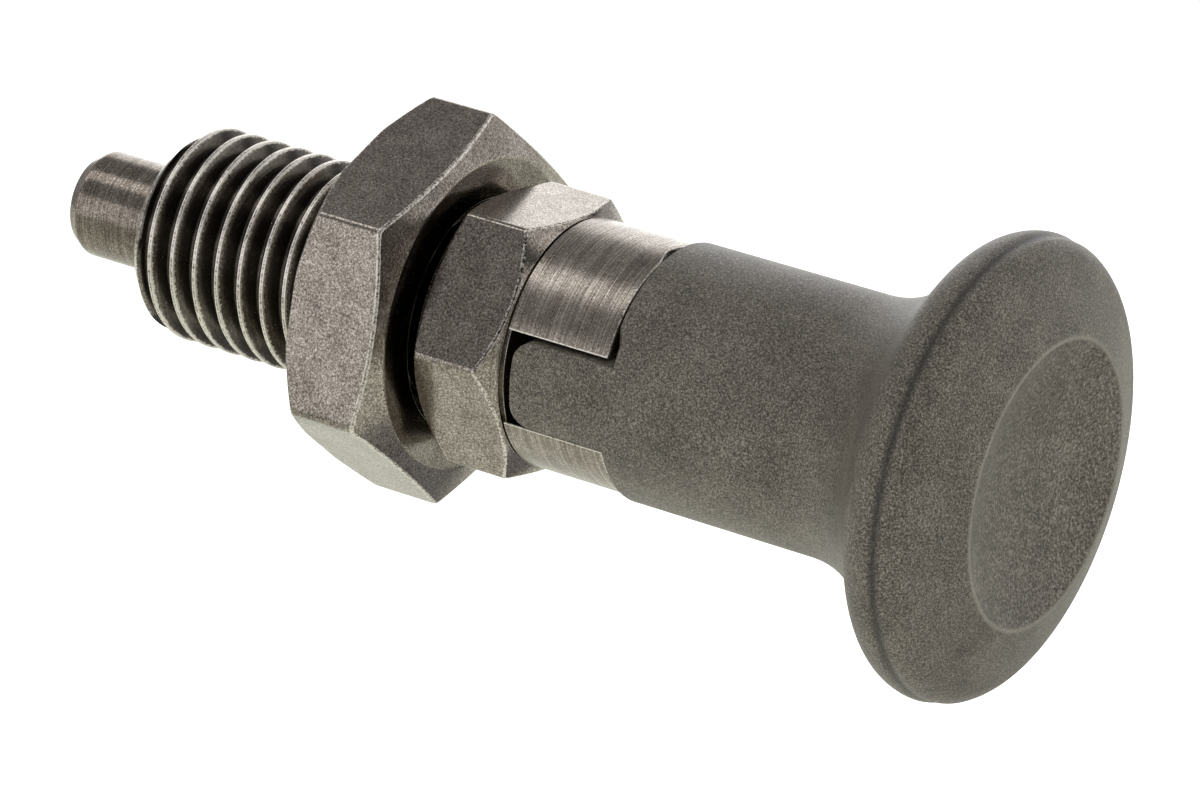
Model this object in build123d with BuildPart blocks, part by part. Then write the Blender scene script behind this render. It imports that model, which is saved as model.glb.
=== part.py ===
from build123d import *
from math import cos, pi, radians, sin, tan
import os

# Lockable indexing plunger. It lies along X: the locking pin points to -X and the
# mushroom grip to +X. The origin is on the axis, on the front face of the body's
# hexagon, which is the face the thread is screwed in up to. All sizes in millimetres.

# Threaded body: thread, hexagon and slotted collar turned from one bar
thread_diameter = 12.0
thread_depth = 0.92
thread_length = 20.2
thread_lead_chamfer = 1.2
relief_groove_width = 2.0
body_across_flats = 14.0
body_hexagon_length = 5.3
body_hexagon_turn = -3.0
hexagon_front_circle = 6.85
collar_diameter = 13.7
collar_end = 11.6
collar_groove_width = 0.15
collar_groove_depth = 0.25
slot_width = 5.2
slot_floor = 5.45
crown_edge_break = 0.12
hexagon_chamfer_angle = 30.0

# Locknut
nut_across_flats = 19.0
nut_thickness = 5.7
nut_setback = 0.75
nut_turn = 20.9
nut_face_diameter = 17.3
nut_chamfer_angle = 20.0
nut_mouth_chamfer = 0.45
nut_thread_clearance = 0.05

# Locking pin with its thinner shank
pin_diameter = 6.0
pin_protrusion = 6.2
pin_tip_chamfer_length = 0.75
pin_tip_chamfer_width = 0.45
pin_running_clearance = 0.02
pin_shoulder = -10.5
shank_diameter = 3.6
shank_running_clearance = 0.05
shank_end_chamfer = 0.3
bore_depth_past_thread = 3.0
bore_mouth_chamfer = 0.3

# Spring between the pin's shoulder and the bottom of the body's bore
wire_diameter = 0.6
spring_mean_diameter = 4.9
active_coils = 7.0
closed_coils = 1.1
closed_pitch = 0.63
coil_points_per_turn = 12

# Mushroom grip with its tongue
sleeve_diameter = 14.2
sleeve_seat_gap = 0.25
neck_fillet = 6.5
flank_angle = 55.0
knob_diameter = 25.0
rim_radius = 2.15
rim_centre_x = 31.2
face_angle = 22.0
dish_diameter = 15.5
dish_depth = 1.8
dish_edge_round = 0.3
tongue_width = 4.9
tongue_floor_gap = 0.7
tongue_corner_radius = 1.1
shank_hole_end_gap = 0.5
shank_end = 26.0

# Sizes that follow from the ones above
thread_radius = thread_diameter / 2
root_radius = thread_radius - thread_depth
pin_radius = pin_diameter / 2
shank_radius = shank_diameter / 2
collar_radius = collar_diameter / 2
bore_radius = pin_radius + pin_running_clearance
shank_bore_radius = shank_radius + shank_running_clearance
sleeve_radius = sleeve_diameter / 2
sleeve_start = collar_end + sleeve_seat_gap
pin_tip = -thread_length - pin_protrusion

os.makedirs("parts", exist_ok=True)


# ------------------------------------------------------------------ threaded body
# The hexagon is drawn first and rounded off by a barrel-shaped cut, so that both of
# its ends have the usual chamfer; the thread and the collar are then added to it.
hexagon_corner = body_across_flats / 2 / cos(radians(30))
front_drop = (hexagon_corner - hexagon_front_circle) * tan(radians(hexagon_chamfer_angle))
rear_drop = (hexagon_corner - collar_radius) * tan(radians(hexagon_chamfer_angle))

with BuildPart() as threaded_body:
    with BuildSketch(Plane.YZ):
        RegularPolygon(body_across_flats / 2, 6, major_radius=False, rotation=body_hexagon_turn)
    extrude(amount=body_hexagon_length)

    with BuildSketch(Plane.XY):
        Polygon(
            (0, 0),
            (0, hexagon_front_circle),
            (front_drop, hexagon_corner),
            (body_hexagon_length - rear_drop, hexagon_corner),
            (body_hexagon_length, collar_radius),
            (body_hexagon_length, 0),
            align=None,
        )
    revolve(axis=Axis.X, mode=Mode.INTERSECT)

    # Thread blank with its lead chamfer and the relief groove at the hexagon
    with BuildSketch(Plane.XY):
        Polygon(
            (-thread_length, 0),
            (-thread_length, thread_radius - thread_lead_chamfer),
            (-thread_length + thread_lead_chamfer, thread_radius),
            (-relief_groove_width - thread_depth, thread_radius),
            (-relief_groove_width, root_radius),
            (0, root_radius),
            (0, 0),
            align=None,
        )
    revolve(axis=Axis.X)

    # Collar, parted from the hexagon by a fine turned groove
    with BuildSketch(Plane.XY):
        Polygon(
            (body_hexagon_length, 0),
            (body_hexagon_length, collar_radius - collar_groove_depth),
            (body_hexagon_length + collar_groove_width, collar_radius - collar_groove_depth),
            (body_hexagon_length + collar_groove_width, collar_radius),
            (collar_end - crown_edge_break, collar_radius),
            (collar_end, collar_radius - crown_edge_break),
            (collar_end, 0),
            align=None,
        )
    revolve(axis=Axis.X)

    # Bore for the pin and the spring, and the smaller hole that guides the shank
    with BuildSketch(Plane.XY):
        Polygon(
            (-thread_length, 0),
            (-thread_length, bore_radius + bore_mouth_chamfer),
            (-thread_length + bore_mouth_chamfer, bore_radius),
            (bore_depth_past_thread, bore_radius),
            (bore_depth_past_thread, shank_bore_radius),
            (collar_end, shank_bore_radius),
            (collar_end, 0),
            align=None,
        )
    revolve(axis=Axis.X, mode=Mode.SUBTRACT)

    # Slot right across the collar, which leaves the two crown segments
    with BuildSketch(Plane.YZ.offset(slot_floor)):
        Rectangle(2 * collar_diameter, slot_width)
    extrude(amount=collar_end - slot_floor, mode=Mode.SUBTRACT)

threaded_body.part.label = "threaded_body"
export_step(threaded_body.part, "parts/threaded_body.step")


# ------------------------------------------------------------------------ locknut
nut_radius = nut_across_flats / 2
nut_corner = nut_radius / cos(radians(30))
nut_circle = nut_face_diameter / 2
nut_drop = (nut_corner - nut_circle) * tan(radians(nut_chamfer_angle))
nut_rear = -nut_setback
nut_front = nut_rear - nut_thickness
nut_bore_radius = thread_radius + nut_thread_clearance
nut_mouth_radius = nut_bore_radius + nut_mouth_chamfer

with BuildPart() as locknut:
    with BuildSketch(Plane.YZ.offset(nut_front)):
        RegularPolygon(nut_radius, 6, major_radius=False, rotation=nut_turn)
    extrude(amount=nut_thickness)

    with BuildSketch(Plane.XY):
        Polygon(
            (nut_front, 0),
            (nut_front, nut_circle),
            (nut_front + nut_drop, nut_corner),
            (nut_rear - nut_drop, nut_corner),
            (nut_rear, nut_circle),
            (nut_rear, 0),
            align=None,
        )
    revolve(axis=Axis.X, mode=Mode.INTERSECT)

    # Threaded hole with a chamfer at both mouths
    with BuildSketch(Plane.XY):
        Polygon(
            (nut_front, 0),
            (nut_front, nut_mouth_radius),
            (nut_front + nut_mouth_chamfer, nut_bore_radius),
            (nut_rear - nut_mouth_chamfer, nut_bore_radius),
            (nut_rear, nut_mouth_radius),
            (nut_rear, 0),
            align=None,
        )
    revolve(axis=Axis.X, mode=Mode.SUBTRACT)

locknut.part.label = "locknut"
export_step(locknut.part, "parts/locknut.step")


# -------------------------------------------------------------------- plunger pin
with BuildPart() as plunger_pin:
    with BuildSketch(Plane.XY):
        Polygon(
            (pin_tip, 0),
            (pin_tip, pin_radius - pin_tip_chamfer_width),
            (pin_tip + pin_tip_chamfer_length, pin_radius),
            (pin_shoulder, pin_radius),
            (pin_shoulder, shank_radius),
            (shank_end - shank_end_chamfer, shank_radius),
            (shank_end, shank_radius - shank_end_chamfer),
            (shank_end, 0),
            align=None,
        )
    revolve(axis=Axis.X)

plunger_pin.part.label = "plunger_pin"
export_step(plunger_pin.part, "parts/plunger_pin.step")


# ------------------------------------------------------------------------- spring
# The wire's centre line is a helix whose closed end coils have a small pitch and
# whose active coils share the rest of the length. Both ends are ground flat. The round
# wire is drawn with six flats, which keeps the number of faces small.
spring_length = bore_depth_past_thread - pin_shoulder
coil_radius = spring_mean_diameter / 2
ground_depth = wire_diameter / 4
closed_rise = closed_coils * closed_pitch
active_rise = spring_length - 2 * ground_depth - 2 * closed_rise
total_coils = active_coils + 2 * closed_coils
point_count = round(total_coils * coil_points_per_turn)


def wire_centre(turns: float) -> tuple[float, float, float]:
    """The wire's centre after so many turns, counted from the pin's shoulder."""
    first = min(turns, closed_coils) * closed_pitch
    middle = min(max(turns - closed_coils, 0), active_coils) * active_rise / active_coils
    last = max(turns - closed_coils - active_coils, 0) * closed_pitch
    angle = 2 * pi * turns
    return (
        pin_shoulder + ground_depth + first + middle + last,
        coil_radius * cos(angle),
        coil_radius * sin(angle),
    )


with BuildPart() as spring:
    with BuildLine() as wire_path:
        Spline([wire_centre(total_coils * step / point_count) for step in range(point_count + 1)])
    with BuildSketch(Plane(wire_path.line @ 0, z_dir=wire_path.line % 0)):
        RegularPolygon(wire_diameter / 2, 6)
    sweep(is_frenet=True)

    # Ground ends
    split(bisect_by=Plane.YZ.offset(pin_shoulder), keep=Keep.TOP)
    split(bisect_by=Plane.YZ.offset(bore_depth_past_thread), keep=Keep.BOTTOM)

spring.part.label = "spring"
export_step(spring.part, "parts/spring.step")


# ------------------------------------------------------------------ mushroom grip
# The rim is a full round. The straight flank and the sloping face both run into it
# without a corner, and the flank meets the sleeve through the neck's fillet.
rim_centre_radius = knob_diameter / 2 - rim_radius
flank = radians(flank_angle)
face = radians(face_angle)
flank_top = (rim_centre_x - rim_radius * sin(flank), rim_centre_radius + rim_radius * cos(flank))
rim_top = (rim_centre_x, knob_diameter / 2)
face_top = (rim_centre_x + rim_radius * cos(face), rim_centre_radius + rim_radius * sin(face))
neck_corner = (flank_top[0] - (flank_top[1] - sleeve_radius) / tan(flank), sleeve_radius)
dish_edge_radius = dish_diameter / 2
dish_edge = (face_top[0] + (face_top[1] - dish_edge_radius) * tan(face), dish_edge_radius)
dish_sphere = (dish_edge_radius**2 + dish_depth**2) / (2 * dish_depth)
tongue_end = slot_floor + tongue_floor_gap

with BuildPart() as mushroom_grip:
    # Tongue across the slot: its two ends are the tabs seen between the crown segments
    with BuildSketch(Plane.XZ) as tongue_profile:
        with Locations(((tongue_end + sleeve_start) / 2, 0)):
            Rectangle(sleeve_start - tongue_end, tongue_width)
        fillet(tongue_profile.vertices().group_by(Axis.X)[0], tongue_corner_radius)
    extrude(amount=sleeve_diameter, both=True)
    with BuildSketch(Plane.XZ):
        Rectangle(sleeve_start, sleeve_radius, align=Align.MIN)
    revolve(axis=Axis.X, mode=Mode.INTERSECT)

    # Sleeve, neck, rim and face
    with BuildSketch(Plane.XZ) as grip_profile:
        with BuildLine():
            Polyline((dish_edge[0], 0), (sleeve_start, 0), (sleeve_start, sleeve_radius), neck_corner, flank_top)
            ThreePointArc(flank_top, rim_top, face_top)
            Polyline(face_top, dish_edge, (dish_edge[0], 0))
        make_face()
        fillet(grip_profile.vertices().sort_by_distance(neck_corner)[0], neck_fillet)
    revolve(axis=Axis.X)

    # Shallow dish for the fingertip
    with Locations((dish_edge[0] - dish_depth + dish_sphere, 0, 0)):
        Sphere(dish_sphere, mode=Mode.SUBTRACT)
    fillet(mushroom_grip.edges().sort_by(Axis.X)[-1], dish_edge_round)

    # Blind hole that the shank is pressed into
    with BuildSketch(Plane.YZ.offset(tongue_end)):
        Circle(shank_radius)
    extrude(amount=shank_end + shank_hole_end_gap - tongue_end, mode=Mode.SUBTRACT)

mushroom_grip.part.label = "mushroom_grip"
export_step(mushroom_grip.part, "parts/mushroom_grip.step")
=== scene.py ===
"""Indexing plunger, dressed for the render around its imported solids.

The axis of the plunger is X. The locking pin points to -X and the mushroom grip to
+X, and the origin lies on the front face of the body's hexagon. Sizes in the classes
are millimetres and angles are degrees; a mesh is made in metres.
"""

import logging
from dataclasses import dataclass, field
from enum import Enum
from typing import Any, NamedTuple, Sequence

import bmesh
import bpy
import numpy as np
from mathutils import Matrix, Vector


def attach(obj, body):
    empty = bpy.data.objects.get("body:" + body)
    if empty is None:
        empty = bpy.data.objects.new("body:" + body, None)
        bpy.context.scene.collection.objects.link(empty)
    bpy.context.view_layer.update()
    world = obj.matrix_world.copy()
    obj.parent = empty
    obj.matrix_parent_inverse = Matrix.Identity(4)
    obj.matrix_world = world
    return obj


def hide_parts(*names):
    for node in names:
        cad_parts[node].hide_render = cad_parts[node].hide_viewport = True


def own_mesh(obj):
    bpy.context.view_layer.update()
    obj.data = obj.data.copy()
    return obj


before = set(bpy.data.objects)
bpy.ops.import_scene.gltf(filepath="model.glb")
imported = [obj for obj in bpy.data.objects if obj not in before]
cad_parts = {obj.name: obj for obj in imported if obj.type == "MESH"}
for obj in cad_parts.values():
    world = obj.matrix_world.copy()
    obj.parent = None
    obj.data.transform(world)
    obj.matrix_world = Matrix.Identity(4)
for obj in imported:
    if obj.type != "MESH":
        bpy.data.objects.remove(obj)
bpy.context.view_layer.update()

log = logging.getLogger("indexing_plunger")

MM = 0.001

# Names of the vertex attributes that the finishes read.
WORN_EDGE = "worn_edge"
DISH_FLOOR = "dish_floor"
TURNED = "turned"
# Painted shade: darkens thread flanks and roots, the nut's rear face and the grip's rim groove,
# where shade falls.
PAINTED_SHADE = "sheltered"
GLOW = "glow"

# How a rounded corner and the fading of its wear share a short side.
CURVE_SHARE = 0.3
FADE_SHARE = 0.47
FADE_SETBACKS = 1.5
SHORTEST_SIDE = 1e-9

# Share of the wear of a hexagon outline's corners that shows along the piece.
CORNER_SHARE = 0.8

# How far off a surface a point lies before it counts as off it, in millimetres.
CLEAR = 0.02

HEXAGON_SIDES = 6
WHITE = (1.0, 1.0, 1.0, 1.0)

Array = np.ndarray


# --------------------------------------------------------------------- surfaces
@dataclass
class Surface:
    """A mesh in the making.

    Attributes:
        points: vertex places in millimetres, shape (N, 3).
        quads: vertex numbers of each face, shape (F, 4).
        marks: one number per vertex for each named attribute.
    """

    points: Array
    quads: Array
    marks: dict[str, Array] = field(default_factory=dict)


def grid_surface(
    points: Array,
    marks: dict[str, Array] | None = None,
    wrap_rows: bool = False,
    wrap_columns: bool = False,
    column_shift: int = 0,
) -> Surface:
    """Turns a grid of places into a surface of quads.

    Vertex (i, j) joins (i+1, j), (i+1, j+1) and (i, j+1). On a wrapped grid the last
    column joins the first, shifted along the rows by column_shift, which is how a
    screw thread closes on itself one pitch further on.

    Args:
        points: places, shape (rows, columns, 3).
        marks: attribute values, each of a shape that broadcasts to (rows, columns).
        wrap_rows: joins the last row to the first.
        wrap_columns: joins the last column to the first.
        column_shift: rows by which the surface has moved on after one turn.

    Returns:
        The surface.
    """
    rows, columns = points.shape[:2]
    last_row = rows if wrap_rows else rows - 1 - column_shift
    last_column = columns if wrap_columns else columns - 1
    i, j = np.meshgrid(np.arange(last_row), np.arange(last_column), indexing="ij")
    next_j = (j + 1) % columns
    shift = np.where(j + 1 == columns, column_shift, 0)
    a = i * columns + j
    b = ((i + 1) % rows) * columns + j
    c = ((i + 1 + shift) % rows) * columns + next_j
    d = ((i + shift) % rows) * columns + next_j
    quads = np.stack([a, b, c, d], axis=-1).reshape(-1, 4)
    flat = {
        name: np.broadcast_to(values, (rows, columns)).reshape(-1).astype(float)
        for name, values in (marks or {}).items()
    }
    return Surface(points.reshape(-1, 3), quads, flat)


def joined(surfaces: Sequence[Surface]) -> Surface:
    """Puts several surfaces into one; an attribute that one lacks is 0 there.

    Args:
        surfaces: the surfaces in order.

    Returns:
        One surface with all their points, faces and attributes.
    """
    names = sorted({name for surface in surfaces for name in surface.marks})
    starts = np.cumsum([0] + [len(surface.points) for surface in surfaces[:-1]])
    marks = {
        name: np.concatenate([s.marks.get(name, np.zeros(len(s.points))) for s in surfaces])
        for name in names
    }
    points = np.concatenate([surface.points for surface in surfaces])
    quads = np.concatenate([surface.quads + start for surface, start in zip(surfaces, starts)])
    return Surface(points, quads, marks)


def on_axis(x: Array, radius: Array, angle: Array) -> Array:
    """Places at a distance from the X axis: (x, r cos a, r sin a)."""
    x, radius, angle = np.broadcast_arrays(x, radius, angle)
    return np.stack([x, radius * np.cos(angle), radius * np.sin(angle)], axis=-1)


def make_object(
    name: str, surface: Surface, weld: float = 2e-4, crease: float = 32.0
) -> bpy.types.Object:
    """Makes a finished mesh object from a surface.

    Coincident vertices are merged, faces that shrink to nothing go, all faces are
    turned outwards, and edges that bend by more than the crease angle stay sharp.

    Args:
        name: name of the object.
        surface: the surface in millimetres.
        weld: distance within which vertices are one, in millimetres.
        crease: angle in degrees from which an edge is sharp.

    Returns:
        The object, at the origin.
    """
    mesh = bpy.data.meshes.new(name)
    mesh.from_pydata((surface.points * MM).tolist(), [], surface.quads.tolist())
    for mark, values in surface.marks.items():
        attribute = mesh.attributes.new(mark, "FLOAT", "POINT")
        attribute.data.foreach_set("value", values.astype(np.float32))
    shell = bmesh.new()
    shell.from_mesh(mesh)
    bmesh.ops.remove_doubles(shell, verts=shell.verts, dist=weld * MM)
    bmesh.ops.dissolve_degenerate(shell, edges=shell.edges, dist=weld * MM / 2)
    bmesh.ops.recalc_face_normals(shell, faces=shell.faces)
    shell.to_mesh(mesh)
    shell.free()
    mesh.polygons.foreach_set("use_smooth", np.ones(len(mesh.polygons), dtype=bool))
    mesh.set_sharp_from_angle(angle=np.radians(crease))
    made = bpy.data.objects.new(name, mesh)
    bpy.context.scene.collection.objects.link(made)
    return made


class Station(NamedTuple):
    """A corner of a turned profile: its place, its rounding's setback and its wear.

    The place may change with the angle round the axis, as one number per column.
    """

    x: Array | float
    radius: Array | float
    setback: float = 0.0
    wear: float = 0.0


def rounded(
    corners: Array,
    setback: Sequence[float],
    worn: Sequence[float],
    steps: int = 4,
    fade: float = 0.1,
    closed: bool = False,
) -> tuple[Array, Array]:
    """Rounds the corners of many profiles at once.

    Each corner P becomes the curve (1-t)^2 A + 2t(1-t) P + t^2 B, where A and B lie
    on the two straight sides at the setback from P. A plain point follows on each
    side where the wear of the edge has faded out.

    Args:
        corners: corner places, shape (..., corners, 2).
        setback: how far from each corner its curve begins; 0 leaves a plain point.
        worn: how far the coating is worn off at each corner.
        steps: number of points on each curve.
        fade: distance from a corner at which its wear has faded, in millimetres.
        closed: whether the last corner joins the first.

    Returns:
        The profile points, shape (..., points, 2), and their wear, shape (points,).
    """
    count = corners.shape[-2]
    points: list[Array] = []
    marks: list[float] = []
    for k in range(count):
        here = corners[..., k, :]
        inner = closed or 0 < k < count - 1
        if not inner or setback[k] <= 0:
            points.append(here)
            marks.append(worn[k])
            continue
        sides = []
        for other in (corners[..., k - 1, :], corners[..., (k + 1) % count, :]):
            way = other - here
            length = np.linalg.norm(way, axis=-1, keepdims=True)
            length = np.maximum(length, SHORTEST_SIDE)
            cut = np.minimum(setback[k], CURVE_SHARE * length)
            far = np.minimum(np.maximum(fade, FADE_SETBACKS * cut), FADE_SHARE * length)
            sides.append((here + way / length * cut, here + way / length * far))
        (start, before), (end, after) = sides
        points.append(before)
        marks.append(0.0)
        for t in np.linspace(0, 1, steps):
            points.append((1 - t) ** 2 * start + 2 * t * (1 - t) * here + t**2 * end)
            marks.append(worn[k])
        points.append(after)
        marks.append(0.0)
    return np.stack(points, axis=-2), np.array(marks)


def rounded_stations(
    stations: Sequence[Station], fade: float, closed: bool = False
) -> tuple[Array, Array]:
    """Rounds the corners of a turned profile, for every column at once.

    Args:
        stations: the corners in order.
        fade: distance from a corner at which its wear has faded, in millimetres.
        closed: whether the last corner joins the first.

    Returns:
        The (x, r) points, shape (..., points, 2), and their wear, shape (points,).
    """
    count = len(stations)
    numbers = np.broadcast_arrays(*[s.x for s in stations], *[s.radius for s in stations])
    corners = np.stack([np.stack(numbers[:count], -1), np.stack(numbers[count:], -1)], -1)
    setback = [station.setback for station in stations]
    worn = [station.wear for station in stations]
    return rounded(corners, setback, worn, fade=fade, closed=closed)


def arc(
    centre: tuple[float, float], radius: float, first: float, last: float, steps: int
) -> Array:
    """Points of a circle from one angle to another, shape (steps, 2).

    Each is the centre plus (R cos a, R sin a), with even steps of a.

    Args:
        centre: the circle's middle.
        radius: its radius.
        first: angle of the first point, in degrees.
        last: angle of the last point, in degrees.
        steps: number of points.

    Returns:
        The points.
    """
    turn = np.radians(np.linspace(first, last, steps))
    x = centre[0] + radius * np.cos(turn)
    y = centre[1] + radius * np.sin(turn)
    return np.stack([x, y], axis=-1)


def line(start: Array, end: Array, shares: Array) -> Array:
    """Points of a straight line: start + (end - start) t for each share t."""
    return start + (end - start) * shares[:, None]


def smooth_step(t: Array) -> Array:
    """The curve 3t^2 - 2t^3, which leaves 0 and reaches 1 without a kink."""
    return 3 * t**2 - 2 * t**3


@dataclass(frozen=True)
class HexagonOutline:
    """Outline of a hexagon bar seen along X, with slightly rounded corners.

    Attributes:
        across_flats: distance between opposite flats.
        turn: angle of a corner from +Y towards +Z, in degrees.
        corner_setback: how far from a corner its rounding begins.
        flat_steps: points along each flat.
        corner_steps: points on each corner's curve, between the flats' ends.
        wear_share: share of a flat over which the wear at its end fades.
        corner_wear: wear on the rounding itself.
    """

    across_flats: float
    turn: float
    corner_setback: float = 0.22
    flat_steps: int = 17
    corner_steps: int = 4
    wear_share: float = 0.02
    corner_wear: float = 0.7

    def trace(self) -> tuple[Array, Array, Array]:
        """Follows the outline once round.

        A flat is the straight line between two corners, cut back at both ends, and a
        corner is the quadratic curve between two flats.

        Returns:
            The angle, the distance from the axis and the wear of each outline point.
        """
        reach = self.across_flats / 2 / np.cos(np.pi / HEXAGON_SIDES)
        turns = np.radians(self.turn + 360 / HEXAGON_SIDES * np.arange(HEXAGON_SIDES + 1))
        corner = np.stack([reach * np.cos(turns), reach * np.sin(turns)], axis=-1)
        here, there = corner[:-1, None, :], corner[1:, None, :]
        way = (there - here) / np.linalg.norm(there - here, axis=-1, keepdims=True)
        start, end = here + way * self.corner_setback, there - way * self.corner_setback
        inner = np.linspace(self.wear_share, 1 - self.wear_share, self.flat_steps)
        share = np.concatenate([[0.0], inner, [1.0]])[None, :, None]
        along = start + (end - start) * share
        t = np.linspace(0, 1, self.corner_steps + 2)[None, 1:-1, None]
        next_start = np.roll(start, -1, axis=0)
        bend = (1 - t) ** 2 * end + 2 * t * (1 - t) * there + t**2 * next_start
        ring = np.concatenate([along, bend], axis=1).reshape(-1, 2)
        wear_flat = np.zeros((HEXAGON_SIDES, self.flat_steps + 2))
        wear_flat[:, [0, -1]] = 1.0
        wear_round = np.full((HEXAGON_SIDES, self.corner_steps), self.corner_wear)
        wear = np.concatenate([wear_flat, wear_round], axis=1).reshape(-1)
        angle = np.unwrap(np.arctan2(ring[:, 1], ring[:, 0]))
        return angle, np.linalg.norm(ring, axis=-1), wear


# -------------------------------------------------------------------- materials
def add_node(
    tree: bpy.types.NodeTree,
    kind: str,
    settings: dict[str, Any] | None = None,
    inputs: dict[str | int, Any] | None = None,
    stops: Sequence[tuple[float, str]] = (),
) -> bpy.types.Node:
    """Adds one shader node.

    Args:
        tree: the node tree.
        kind: Blender's name for the node type.
        settings: properties of the node itself.
        inputs: for each input, by name or number, a value or the output to link.
        stops: for a colour ramp, its positions in order and their sRGB hex colours.

    Returns:
        The node.
    """
    made = tree.nodes.new(kind)
    for name, value in (settings or {}).items():
        setattr(made, name, value)
    for key, value in (inputs or {}).items():
        if isinstance(value, bpy.types.NodeSocket):
            tree.links.new(value, made.inputs[key])
        else:
            made.inputs[key].default_value = value
    if stops:
        elements = made.color_ramp.elements
        elements[0].position, elements[1].position = stops[0][0], stops[-1][0]
        for position, _ in stops[1:-1]:
            elements.new(position)
        for element, (_, colour) in zip(elements, stops):
            element.color = linear(colour)
    return made


def linear(colour: str) -> tuple[float, float, float, float]:
    """Turns an sRGB colour into a linear one.

    A part c becomes c / 12.92 where it is at most 0.04045, and otherwise
    ((c + 0.055) / 1.055) to the power of 2.4.

    Args:
        colour: the colour as "#rrggbb".

    Returns:
        Linear red, green and blue, and an alpha of 1.
    """
    parts = np.array([int(colour[k : k + 2], 16) / 255 for k in (1, 3, 5)])
    parts = np.where(parts <= 0.04045, parts / 12.92, ((parts + 0.055) / 1.055) ** 2.4)
    return (*[float(part) for part in parts], 1.0)


def per_metre(size_mm: float) -> float:
    """Scale of a pattern on Object coordinates whose detail has this size."""
    return 1.0 / (size_mm * MM)


def emptied(owner: bpy.types.Material | bpy.types.World) -> bpy.types.NodeTree:
    """Switches a material or a world to nodes and clears them.

    Args:
        owner: the material or world.

    Returns:
        Its empty node tree.
    """
    owner.use_nodes = True
    owner.node_tree.nodes.clear()
    return owner.node_tree


class Cut(Enum):
    """Which way a steel surface was cut, and so the way its fine lines run."""

    TURNED = "lines round the axis"
    PRESSED = "scratches every way"
    GROUND = "faint lines round the axis"


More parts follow.
